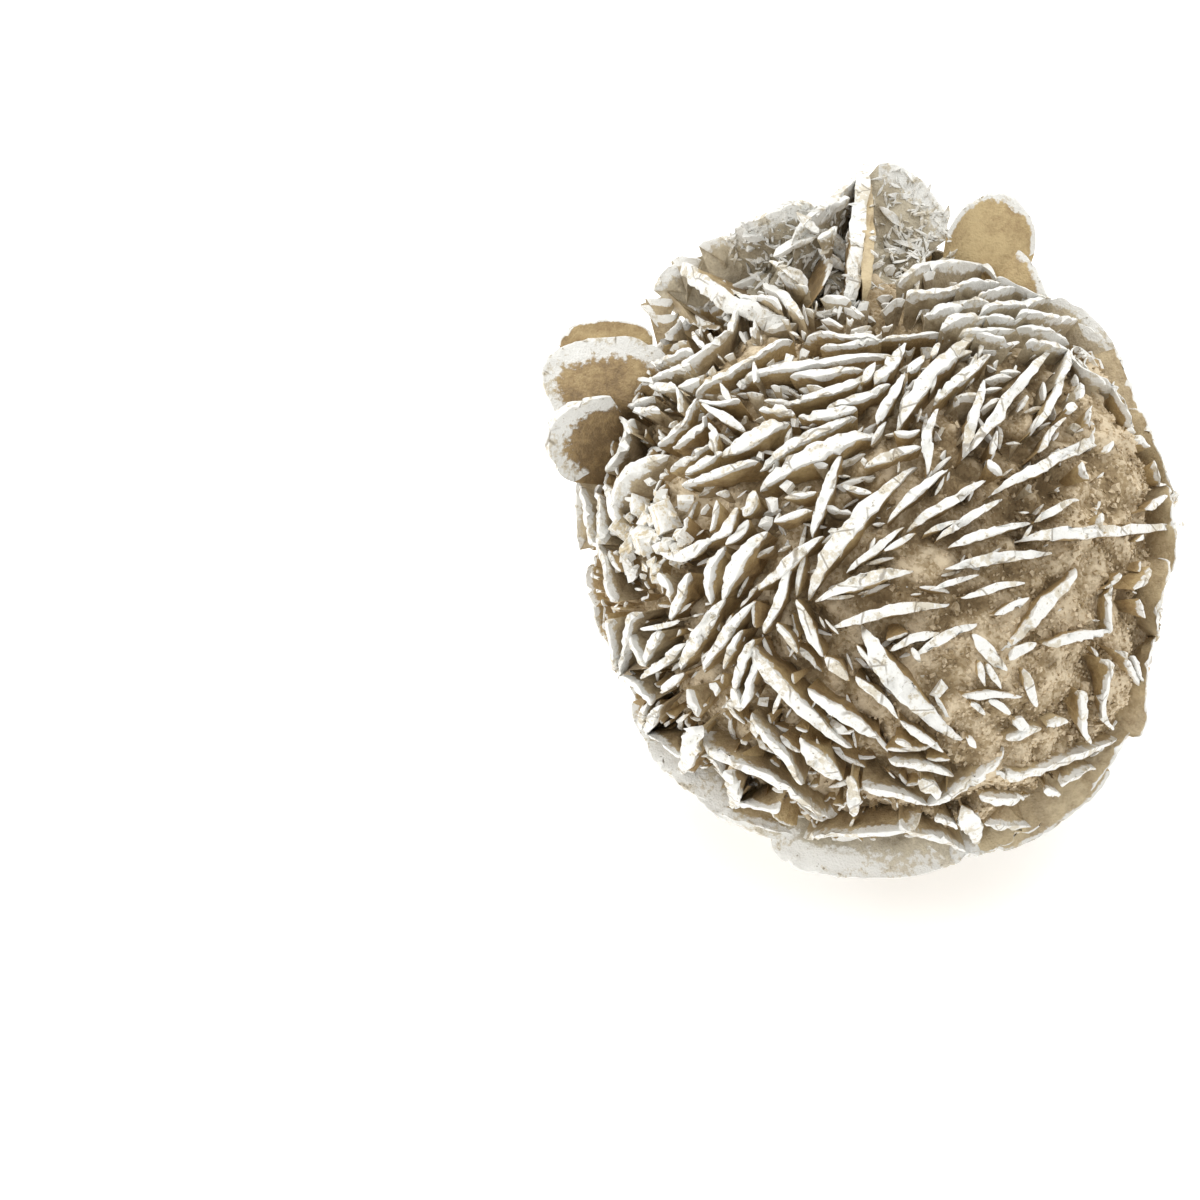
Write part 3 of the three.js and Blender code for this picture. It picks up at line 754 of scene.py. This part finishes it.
# The shoulder carries a stack of thick blades that lead up to the crown, and small ones between them and
# the fins.
SHOULDER_RIMS = [
    (580, 398, 610, 396, 640, 392, 6), (640, 380, 662, 375, 686, 373, 7), (650, 386, 663, 387, 676, 389, 9),
    (678, 387, 689, 383, 700, 380, 8), (677, 388, 678, 400, 680, 412, 4), (628, 408, 640, 401, 655, 398, 4),
    (634, 412, 645, 409, 660, 411, 7), (652, 363, 672, 358, 693, 355, 6), (676, 368, 683, 366, 690, 365, 4),
    (692, 374, 712, 347, 739, 312, 9),
]
THICK_RIMS = [(684, 268, 712, 290, 741, 311, 18), (739, 304, 768, 322, 797, 341, 19)]
STACK_RIMS = [
    (725, 283, 748, 298, 780, 309, 5), (665, 289, 690, 306, 718, 324, 12),
    (646, 299, 660, 299, 675, 300, 6), (650, 316, 665, 315, 679, 312, 5), (641, 305, 649, 316, 658, 328, 4),
    (666, 338, 671, 330, 677, 322, 7), (693, 332, 698, 342, 705, 350, 5), (765, 286, 784, 297, 803, 319, 9),
    (781, 276, 795, 283, 808, 290, 4), (754, 362, 754, 372, 754, 382, 5),
]
BACK_RIMS = [
    (672, 262, 685, 257, 702, 262, 14), (700, 246, 714, 239, 738, 236, 12),
    (655, 290, 664, 272, 684, 262, 9),
]

blade_piece("shoulder_blades", together(
    read_rims(BALL, SHOULDER_RIMS + STACK_RIMS, frost=1.6, grey=0.3, blunt=0.3),
    read_rims(CROWN, THICK_RIMS, frost=1.6, grey=0.1, blunt=0.9),
    read_rims(BALL, BACK_RIMS, frost=2.4, grey=0.6, blunt=0.6),
))

# At the left, a cluster of blocky crystals grew over the blades, and single blocks sit here and there among
# the rims. Each row is a block's middle, width and height in pixels. Round each of the left blocks sit
# smaller ones, spread at random.
BLOCK_SEED = 3
BLOCK_DEPTH = 2.1
BLOCK_CREASE = math.radians(20)
BLOCK_GREY = 0.35
SMALLER_BLOCKS = 5
BLOCK_SPREAD = 8
LEFT_BLOCKS = [
    (667, 522, 24, 42), (648, 540, 20, 38), (628, 552, 18, 30), (640, 506, 20, 26), (655, 571, 16, 22),
    (676, 556, 15, 24), (622, 527, 14, 24), (632, 577, 14, 20), (613, 560, 12, 22), (660, 496, 18, 20),
    (684, 536, 12, 28), (646, 520, 15, 18), (668, 545, 16, 18), (634, 536, 15, 15),
]
RIM_BLOCKS = [
    (789, 360, 14, 12), (803, 355, 12, 9), (760, 456, 8, 13), (795, 423, 10, 14), (788, 487, 10, 12),
    (773, 506, 16, 12), (767, 522, 14, 14), (835, 531, 7, 12), (763, 701, 11, 13), (941, 689, 17, 17),
    (726, 392, 9, 8), (742, 385, 10, 10), (864, 462, 9, 11), (856, 338, 14, 8), (1020, 602, 9, 14),
    (838, 729, 16, 20),
]


def block_piece(name, rows, tone, edge, shrink):
    """Blocks at pixels on the ball, a little under its surface. A block's half is a share of the mean of its
    width and height."""
    rows = np.array(rows, float)
    middles = point_on(BALL, rows[:, 0], rows[:, 1], BLOCK_DEPTH)
    corners, faces = blocks(middles, (rows[:, 2] + rows[:, 3]) / 2 * MM_PER_PIXEL * shrink, random)
    ones = np.ones(len(corners))
    marks = {"edge": edge * ones, "tone": tone * ones, "deep": sunk(corners), "grey": BLOCK_GREY * ones}
    fixed(new_mesh(name, corners, [faces], gypsum, marks, BLOCK_CREASE))


random = np.random.default_rng(BLOCK_SEED)
spread = np.array([(x + dx, y + dy, w * 0.5, h * 0.45) for x, y, w, h in LEFT_BLOCKS
                   for dx, dy in random.normal(0, BLOCK_SPREAD, (SMALLER_BLOCKS, 2))])
block_piece("left_blocks", np.concatenate([LEFT_BLOCKS, spread]), tone=2.2, edge=0.7, shrink=0.5)
block_piece("rim_blocks", RIM_BLOCKS, tone=1.2, edge=0.3, shrink=0.42)

# At the upper right and the right, long flat arcs lie one over the other, with their faces below their
# rims.
UPPER_RIGHT_RIMS = [
    (899, 288, 935, 262, 992, 274, 9), (907, 301, 935, 292, 964, 284, 8),
    (958, 289, 977, 281, 1002, 287, 6), (997, 286, 1020, 289, 1050, 300, 4),
    (978, 299, 994, 289, 1015, 291, 4), (926, 317, 942, 306, 963, 309, 8),
    (962, 305, 973, 298, 990, 305, 6), (981, 317, 1013, 304, 1048, 302, 7),
    (941, 331, 956, 316, 990, 320, 9), (987, 319, 1004, 316, 1021, 320, 4),
    (1017, 320, 1046, 315, 1076, 323, 6), (1072, 322, 1096, 332, 1108, 347, 6),
    (960, 337, 980, 329, 1014, 331, 4), (1017, 330, 1046, 329, 1067, 345, 5),
    (976, 335, 996, 335, 1012, 345, 4), (1026, 345, 1046, 342, 1068, 352, 6),
    (1075, 348, 1084, 372, 1098, 387, 5), (1088, 357, 1095, 376, 1112, 393, 4),
    (1068, 350, 1067, 366, 1056, 384, 7), (1080, 383, 1084, 390, 1079, 399, 6),
    (1046, 303, 1090, 315, 1113, 362, 5),
]
RIGHT_RIMS = [
    (1118, 574, 1110, 600, 1107, 632, 5), (1100, 660, 1102, 690, 1111, 728, 8),
    (1077, 691, 1082, 712, 1090, 742, 9), (1115, 651, 1128, 668, 1141, 690, 5),
    (1130, 657, 1137, 669, 1143, 683, 4), (1137, 599, 1144, 609, 1145, 618, 4),
    (1150, 567, 1147, 580, 1134, 589, 4), (1081, 462, 1085, 470, 1088, 480, 4),
    (1146, 510, 1156, 504, 1166, 496, 7), (1101, 513, 1103, 522, 1105, 533, 9),
    (1092, 405, 1090, 415, 1087, 425, 3), (1113, 383, 1121, 404, 1130, 428, 5),
    (1128, 429, 1140, 436, 1149, 447, 6), (1152, 463, 1159, 474, 1165, 484, 5),
    (1128, 731, 1114, 758, 1093, 776, 5),
]

blade_piece("right_blades", together(read_rims(BALL, UPPER_RIGHT_RIMS, frost=1.7, light=0.2, grey=0.5),
                                     read_rims(BALL, RIGHT_RIMS)))

# Round the right side, broad plates are seen nearly on their tan faces, and their edges make the rose's
# outline.
RIGHT_PLATE_REACH = 17.0
RIGHT_PLATES = [
    (1100, 335, 1128, 375, 1138, 436, 6), (1128, 412, 1158, 448, 1168, 506, 6),
    (1158, 484, 1175, 522, 1163, 574, 7), (1158, 560, 1160, 596, 1154, 640, 6),
    (1157, 622, 1146, 676, 1134, 734, 6), (1141, 700, 1119, 752, 1078, 800, 7),
    (1102, 772, 1050, 820, 984, 848, 6),
]

blade_piece("right_plates", read_rims(
    BALL, RIGHT_PLATES, RIGHT_PLATE_REACH, frost=0.25, light=0.25, grey=0.25))

# Under the ball, blades overlap like shingles, with dark hollows between them.
BOTTOM_RIMS = [
    (710, 730, 757, 772, 835, 810, 11), (703, 727, 691, 748, 682, 770, 20),
    (702, 755, 716, 762, 725, 773, 4), (733, 770, 733, 788, 733, 806, 15),
    (730, 806, 755, 806, 780, 802, 7), (713, 808, 755, 826, 803, 832, 20),
    (754, 714, 774, 746, 803, 782, 10), (851, 776, 854, 796, 854, 815, 12),
    (804, 829, 850, 834, 918, 812, 9), (864, 783, 890, 794, 926, 804, 8), (890, 760, 920, 769, 952, 777, 7),
    (921, 782, 930, 790, 938, 800, 14), (927, 801, 972, 784, 1001, 748, 9),
    (961, 806, 970, 823, 978, 841, 18), (901, 820, 930, 837, 966, 847, 8),
    (936, 817, 946, 822, 957, 828, 7), (1002, 761, 1040, 768, 1113, 736, 11),
    (1006, 738, 1024, 735, 1040, 728, 8), (1014, 719, 1021, 724, 1029, 731, 10),
    (1046, 725, 1057, 723, 1068, 722, 8), (983, 773, 998, 776, 1014, 777, 5),
    (980, 795, 1001, 802, 1023, 798, 13), (985, 824, 1010, 828, 1034, 826, 9),
    (1046, 789, 1052, 793, 1059, 796, 8), (1058, 779, 1076, 775, 1095, 768, 5),
    (688, 688, 691, 706, 700, 716, 6), (732, 688, 735, 700, 740, 711, 9), (752, 682, 747, 696, 741, 710, 7),
    (722, 708, 729, 705, 736, 704, 6), (648, 703, 640, 720, 645, 731, 8), (662, 705, 650, 722, 648, 733, 9),
    (647, 733, 664, 745, 682, 752, 5), (695, 789, 702, 797, 711, 804, 8), (968, 738, 972, 743, 976, 748, 7),
    (750, 722, 752, 731, 756, 738, 5),
]
SHINGLE_RIMS = [
    (776, 836, 830, 876, 945, 858, 12), (700, 790, 742, 828, 830, 842, 12),
    (652, 742, 672, 778, 735, 812, 12), (920, 866, 968, 860, 1016, 835, 8),
]
OLIVE_SHINGLE_RIMS = [(1000, 846, 1062, 822, 1106, 772, 6)]
SHINGLE_REACH = 15.0
OLIVE_SHINGLE_REACH = 9.0

blade_piece("bottom_blades", together(
    read_rims(BALL, BOTTOM_RIMS, frost=1.6, grey=0.2),
    read_rims(BALL, SHINGLE_RIMS, SHINGLE_REACH, frost=4.5, grey=0.8),
    read_rims(BALL, OLIVE_SHINGLE_RIMS, OLIVE_SHINGLE_REACH, frost=0.6, light=-0.1, grey=0.3),
))

# The crown is the tallest part: one upright blade seen on its rim, plates on either side of it that carry
# small needles, a pale fin at the right, and short blades between them.
CROWN_REACH = 16.0
SPINE = [(863, 166, 857, 240, 847, 312, 15)]
SPINE_FACE = [(868, 192, 868, 250, 860, 308, 12)]
DRUSE_PLATES = [
    (945, 237, 927, 188, 880, 167, 9), (728, 246, 768, 212, 818, 214, 8), (794, 240, 838, 189, 866, 178, 9),
]
PALE_FIN = [(948, 240, 1003, 194, 1031, 256, 9), (1018, 252, 1036, 272, 1046, 302, 7)]
CROWN_RIMS = [
    (818, 240, 827, 233, 836, 227, 6), (808, 315, 826, 312, 845, 312, 5), (822, 328, 832, 327, 843, 328, 7),
    (770, 262, 782, 268, 795, 280, 5),
]

crown_piece = blade_piece("crown_blades", together(
    read_rims(CROWN, SPINE, CROWN_REACH, blunt=0.9),
    read_rims(CROWN, SPINE_FACE, CROWN_REACH, frost=0.02, light=0.4, grey=0.2),
    read_rims(CROWN, DRUSE_PLATES, CROWN_REACH, frost=2.8, light=0.25, grey=0.7),
    read_rims(CROWN, PALE_FIN, CROWN_REACH, frost=1.0, light=0.4),
    read_rims(CROWN, CROWN_RIMS, grey=0.5),
))

# The plates of the crown are covered with little white needles, and the hollow between them too. Each field
# is its left, top, right and bottom in pixels, and how many needles it has.
NEEDLE_BLADE = {"least": 0.0, "arc_steps": 5, "root_steps": 2, "back": [0.1, 0.7], "over": [0.0]}
NEEDLE_SEED = 6
NEEDLE_FIELDS = [(702, 182, 856, 318, 520), (872, 168, 952, 306, 270), (800, 300, 945, 340, 140)]
NEEDLE_LENGTH = (0.7, 3.0)
NEEDLE_LEAN = 0.35
NEEDLE_RISE = 0.3
NEEDLE_DIP = 0.15
NEEDLE_REACH = 0.7


def first_hits(x, y, pieces):
    """Where the line of sight through each pixel first meets a piece, and the way that it faces there."""
    graph = bpy.context.evaluated_depsgraph_get()
    trees = [BVHTree.FromObject(piece, graph) for piece in pieces]
    eye = Vector(EYE * MM)
    places, facings = [], []
    for sight in sight_lines(x, y):
        hits = [tree.ray_cast(eye, Vector(sight)) for tree in trees]
        hits = [hit for hit in hits if hit[0] is not None]
        if hits:
            place_hit, facing, _, _ = min(hits, key=lambda hit: hit[3])
            places.append(np.array(place_hit) / MM)
            facings.append(np.array(facing))
    return np.array(places), np.array(facings)


def frosted(first, middle, last, outward, thick, reach):
    """Small blades that stand on another piece, white down to their foot."""
    return blade_set(first, middle, last, outward, thick, reach, ALL_FROST, light=0.6, grey=0.6)


random = np.random.default_rng(NEEDLE_SEED)
pixels = np.concatenate([random.uniform((left, top), (right, bottom), (count, 2))
                         for left, top, right, bottom, count in NEEDLE_FIELDS])
middle, facing = first_hits(pixels[:, 0], pixels[:, 1], [crown_piece, crown_sand_piece])
along = unit(np.cross(facing, random.normal(0, 1, facing.shape)))
length = between(NEEDLE_LENGTH, random.random(len(middle)) ** 2)
leaning = unit(facing + random.normal(0, NEEDLE_LEAN, facing.shape))
step = along * (length / 2)[:, None]
middle = middle + facing * NEEDLE_RISE
foot = middle - leaning * NEEDLE_DIP
needles = frosted(foot - step, middle, foot + step, leaning, 0.14 + 0.13 * length, NEEDLE_REACH)

# Larger white blades lie on the plates and in the hollow. Each row is a blade's ends, then its thickness, in
# pixels.
STREAK_BLADE = {"least": 3.01, "arc_steps": 14, "root_steps": 4, "back": [0.05, 0.4, 1.2],
                "over": [0.9, 0.0, -0.9]}
STREAK_RISE = 0.7
STREAK_REACH = 1.6
STREAKS = [
    (797, 213, 818, 233, 9), (774, 256, 815, 236, 7), (743, 236, 770, 234, 9), (812, 209, 849, 194, 9),
    (818, 249, 844, 269, 10), (827, 230, 847, 260, 12), (803, 294, 818, 286, 5), (819, 297, 826, 285, 4),
    (827, 300, 835, 312, 5), (827, 288, 841, 288, 3), (888, 195, 914, 196, 6), (880, 207, 904, 227, 8),
    (912, 216, 927, 212, 4), (885, 245, 910, 256, 6), (893, 240, 927, 251, 5), (878, 282, 893, 265, 5),
    (868, 271, 885, 263, 5), (876, 288, 891, 295, 4), (890, 254, 894, 263, 3), (781, 271, 806, 289, 5),
    (757, 262, 766, 255, 4), (796, 262, 805, 256, 5), (746, 250, 758, 246, 5), (905, 228, 914, 232, 4),
]

rows = np.array(STREAKS, float)
halfway = (rows[:, :2] + rows[:, 2:4]) / 2
hit, facing = first_hits(halfway[:, 0], halfway[:, 1], [crown_piece, crown_sand_piece])
away = (hit - EYE) @ AHEAD
ends = [EYE + sight_lines(rows[:, i], rows[:, i + 1]) * away[:, None] for i in (0, 2)]
middle = hit + facing * STREAK_RISE
streaks = frosted(ends[0], middle, ends[1], facing, rows[:, 4] * MM_PER_PIXEL, STREAK_REACH)
blade_piece("crown_needles", together(needles, streaks), [STREAK_BLADE, NEEDLE_BLADE])

# The fins are three round blades on the left that are seen on their faces, with a broad frosted band along
# the rim.
FIN_REACH = 20.0
FIN_FROST = 3.4
FIN_RIMS = [(660, 361, 553, 350, 557, 418, 12), (612, 399, 549, 425, 577, 480, 11)]
BACK_FIN_RIMS = [(650, 336, 598, 321, 562, 345, 9)]

blade_piece("fins", together(read_rims(FINS, FIN_RIMS, FIN_REACH, FIN_FROST, light=-0.9, blunt=0.5),
                             read_rims(FINS, BACK_FIN_RIMS, FIN_REACH, frost=0.35, light=-0.2)))

# The rest of the rose, which the picture doesn't show, is made of blades that follow a rule.
BALL_BLADES = 46
CROWN_BLADES = 12
HIDDEN = {"length": 22.0, "length_spread": 8.0, "thick": 1.7, "thick_spread": 0.6, "lean": 0.75}
CROSSING_EVERY = 5
CROSSING_TURN = 1.3
HIDDEN_FROM = -0.1
CROWN_HIDDEN_FROM = 0.35
CROWN_BACK_GREY = 0.6
GOLDEN_TURN = math.pi * (3 - math.sqrt(5))


def turned(vectors, axes, angles):
    """Each vector turned about its axis by its angle: its part along the axis stays, the rest goes round."""
    angles = np.asarray(angles)[:, None]
    return (vectors * np.cos(angles) + np.cross(axes, vectors) * np.sin(angles)
            + axes * dot(axes, vectors) * (1 - np.cos(angles)))


def standing_on(lobe, way):
    """Where each direction out of a lobe's middle meets its surface, and the way straight out of it there."""
    middle = lobe["middle"] + way * (1 / np.linalg.norm(way / lobe["radii"], axis=1))[:, None]
    return middle, outwards(lobe, middle)


def levelled(outward):
    """The level direction across each way out."""
    return unit(np.stack([-outward[:, 1], outward[:, 0], 0 * outward[:, 0]], -1))


def blades_at(lobe, way, turn, lean, length, thick, depth=0.0):
    """Blades whose rims' middles lie at a depth in a lobe in given directions. Each is turned about the way
    out, starting level, and leans over its chord."""
    middle, outward = standing_on(lobe, way)
    middle = middle - outward * np.asarray(depth, float).reshape(-1, 1)
    along = turned(levelled(outward), outward, turn)
    leaning = turned(outward, along, lean)
    centre = middle - leaning * (RIM_DIP * length)[:, None]
    step = along * (length / 2)[:, None]
    reach = np.maximum(LEAST_REACH, REACH_PER_LENGTH * length)
    return blade_set(centre - step, middle, centre + step, leaning, thick, reach, FROST_DEPTH)


def spread_evenly(count):
    """Directions spread evenly over a globe: equal steps of height, each a golden turn on from the last."""
    step = np.arange(count)
    height = 1 - 2 * (step + 0.5) / count
    ring = np.sqrt(1 - height ** 2)
    angle = step * GOLDEN_TURN
    return step, np.stack([ring * np.cos(angle), ring * np.sin(angle), height], -1)


def drift(way):
    """The angle that blades lie at behind: it changes as waves over the directions out of the ball."""
    return 1.4 * np.sin(3 * way[:, 0] + 1) + 1.6 * way[:, 2] * way[:, 1]


def hidden_blades(lobe, count, least):
    """Large blades spread evenly over the part of a lobe that lies so far ahead, seen from the eye. They turn
    with the drift, and their length, thickness and lean go up and down as waves."""
    step, way = spread_evenly(count)
    chosen = way @ AHEAD >= least
    step, way = step[chosen], way[chosen]
    other_wave = np.sin(step * 1.7 + 1)
    turn = drift(way) + np.where(step % CROSSING_EVERY == 0, CROSSING_TURN, 0)
    length = HIDDEN["length"] + HIDDEN["length_spread"] * np.sin(step * 2.4)
    thick = HIDDEN["thick"] + HIDDEN["thick_spread"] * other_wave
    return blades_at(lobe, way, turn, HIDDEN["lean"] * other_wave, length, thick)


back_blades = hidden_blades(BALL, BALL_BLADES, HIDDEN_FROM)
crown_back = hidden_blades(CROWN, CROWN_BLADES, CROWN_HIDDEN_FROM)
crown_back["grey"] += CROWN_BACK_GREY
blade_piece("back_blades", together(back_blades, crown_back))

# Between those large blades stand middling ones, most of them along the same drift, as close together as in
# front.
MIDDLING_COUNT = 620
MIDDLING_SEED = 12
MIDDLING_LENGTH = (4.5, 15.0)
MIDDLING_FROM = 0.0
MIDDLING_LOWEST = -0.93
MIDDLING_CROSSING = 0.15
MIDDLING_DEEPEST = 1.6

random = np.random.default_rng(MIDDLING_SEED)
step, way = spread_evenly(MIDDLING_COUNT)
way = unit(way + random.normal(0, 0.03, way.shape))
way = way[(way @ AHEAD > MIDDLING_FROM) & (way[:, 2] > MIDDLING_LOWEST)]
turn = drift(way) + random.normal(0, 0.3, len(way))
turn = turn + CROSSING_TURN * (random.random(len(way)) < MIDDLING_CROSSING)
length = between(MIDDLING_LENGTH, random.random(len(way)) ** 1.6)
thick = 0.55 + 0.06 * length + random.uniform(0, 0.5, len(way))
lean = random.normal(0, 0.25, len(way))
depth = random.uniform(0, MIDDLING_DEEPEST, len(way))
middling = blades_at(BALL, way, turn, lean, length, thick, depth)
blade_piece("middling_blades", middling, [BROAD_BLADE])

# The rose stands on a thick frosted blade that lies flat under the ball. From its top to its underside, its
# outline runs out to the rim and in again, and the rim is ragged. Each step is a radius and a height.
FOOT_PROFILE = [(8, 6.5), (16, 6.5), (21, 6.5), (24.4, 6.3), (25.3, 5.7), (23.6, 4.4), (20.8, 3.0),
                (17.8, 1.4), (15.6, 0.4), (15.0, 0.0), (12.0, 0.0), (6.0, 0.0)]
FOOT_COLUMNS = 180
FOOT_RAGGED = [(0.12, 5.0, 20), (0.06, 1.6, 21)]

angle = np.arange(FOOT_COLUMNS) * 2 * math.pi / FOOT_COLUMNS
ring = np.stack([np.cos(angle), np.sin(angle), 0 * angle], -1)
corners = np.concatenate([ring * radius + np.array([0, 0, height]) for radius, height in FOOT_PROFILE])
corners = np.concatenate([[[0, 0, FOOT_PROFILE[0][1]], [0, 0, 0.0]], corners])
corners[:, :2] *= 1 + layered(corners, FOOT_RAGGED)[:, None]
ones = np.ones(len(corners))
# The foot takes less of the painted shade of depth than the blades do.
marks = {"edge": 0.85 * ones, "tone": 0.5 * ones, "deep": 0.3 * sunk(corners), "grey": 0.6 * ones}
faces = closed_grid(len(FOOT_PROFILE), FOOT_COLUMNS)
fixed(new_mesh("foot_blade", corners, faces, gypsum, marks, BLADE_CREASE))

# Small blades fill the gaps. They lie the way that the large ones round them lie, some higher and some deep
# in the sand. Towards the top they are paler.
SMALL_COUNT = 2400
SMALL_ON_CRUST = 0.22
SMALL_SEED = 5
SMALL_DEPTH = (0.9, 4.4)
SMALL_FROST = 0.4
SMALL_PALE = (0.55, 0.75)
SMALL_PALE_FROST = 1.6
SMALL_PALE_GREY = 0.5
SMALL_LENGTH = (1.3, 5.2)
SMALL_THICK = 0.11
SMALL_LEAN = 0.22
SMALL_SWERVE = 0.55
NEAR = 6.0


def local_way(points, blades):
    """The mean way that the blades near each point run: the main axis of their weighed outer products."""
    chord = unit(blades["last"] - blades["first"])
    gap = np.linalg.norm(points[:, None] - blades["middle"][None], axis=2)
    weight = np.exp(-(gap / NEAR) ** 2) * np.linalg.norm(blades["last"] - blades["first"], axis=1) + 1e-9
    outer = np.einsum("nb,bi,bj->nij", weight, chord, chord)
    return np.linalg.eigh(outer)[1][:, :, 2]


random = np.random.default_rng(SMALL_SEED)
read_blades = read_rims(BALL, ROSETTE_RIMS + LEFT_EDGE_RIMS + SHOULDER_RIMS + STACK_RIMS + UPPER_RIGHT_RIMS
                        + RIGHT_RIMS + BOTTOM_RIMS)
step, way = spread_evenly(SMALL_COUNT)
way = unit(way + random.normal(0, 0.02, (SMALL_COUNT, 3)))
way = way[random.random(SMALL_COUNT) > (1 - SMALL_ON_CRUST) * crust_share(way)]
middle, outward = standing_on(BALL, way)
along = local_way(middle, together(read_blades, back_blades))
along = unit(along - outward * dot(along, outward))
level = levelled(outward)
turn = np.arctan2(np.sum(np.cross(level, along) * outward, 1), np.sum(level * along, 1))
turn = turn + random.normal(0, SMALL_SWERVE, len(way))
length = between(SMALL_LENGTH, random.random(len(way)) ** 2.2)
depth = random.uniform(*SMALL_DEPTH, len(way))
lean = random.normal(0, SMALL_LEAN, len(way))
small = blades_at(BALL, way, turn, lean, length, SMALL_THICK * length + 0.12, depth)
small["reach"] = np.maximum(SAND_DEPTH - depth + 1.0, 2.5)
high = rising(way[:, 2], *SMALL_PALE)
small["frost"] = SMALL_FROST + SMALL_PALE_FROST * high
small["grey"] = SMALL_PALE_GREY * high
in_front = way @ AHEAD < 0
at_left = way[:, 0] < 0
groups = {"front_left": in_front & at_left, "front_right": in_front & ~at_left,
          "back_left": ~in_front & at_left, "back_right": ~in_front & ~at_left}
for name, group in groups.items():
    blade_piece("small_blades_" + name, {key: value[group] for key, value in small.items()}, [SMALL_BLADE])
